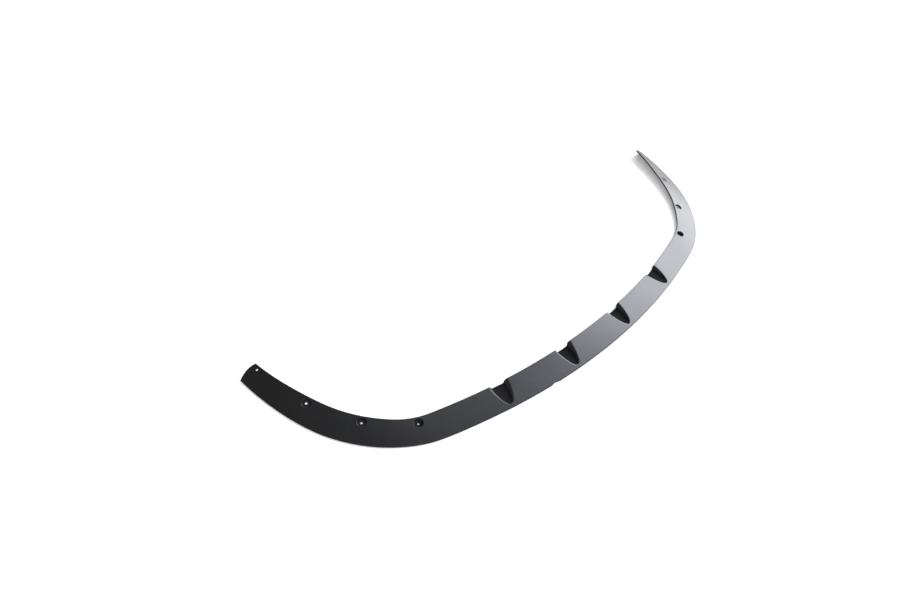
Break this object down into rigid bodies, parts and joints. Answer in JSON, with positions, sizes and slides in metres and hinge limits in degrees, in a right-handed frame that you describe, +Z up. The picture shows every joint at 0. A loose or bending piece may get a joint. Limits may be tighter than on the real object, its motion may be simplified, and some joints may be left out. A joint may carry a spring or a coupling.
{
  "type": "front splitter lip",
  "caption": "Moulded plastic lip for the lower edge of a car's front bumper: a swept U-shaped strip with scooped pockets along the front and recessed screw holes along both wings.",
  "frame": {"origin": "bottom centre of the lip's box, on the surface it lies on, between the two wings", "axes": "+X across the car along the lip's width, +Y rearward from the front edge to the wing tips, +Z up"},
  "size_m": [1.4806, 0.4426, 0.0255],
  "materials": {
    "satin_black_plastic": "satin black moulded plastic with a fine grain"
  },
  "bodies": {
    "root": {"splitter_lip": "satin_black_plastic"}
  },
  "joints": []
}
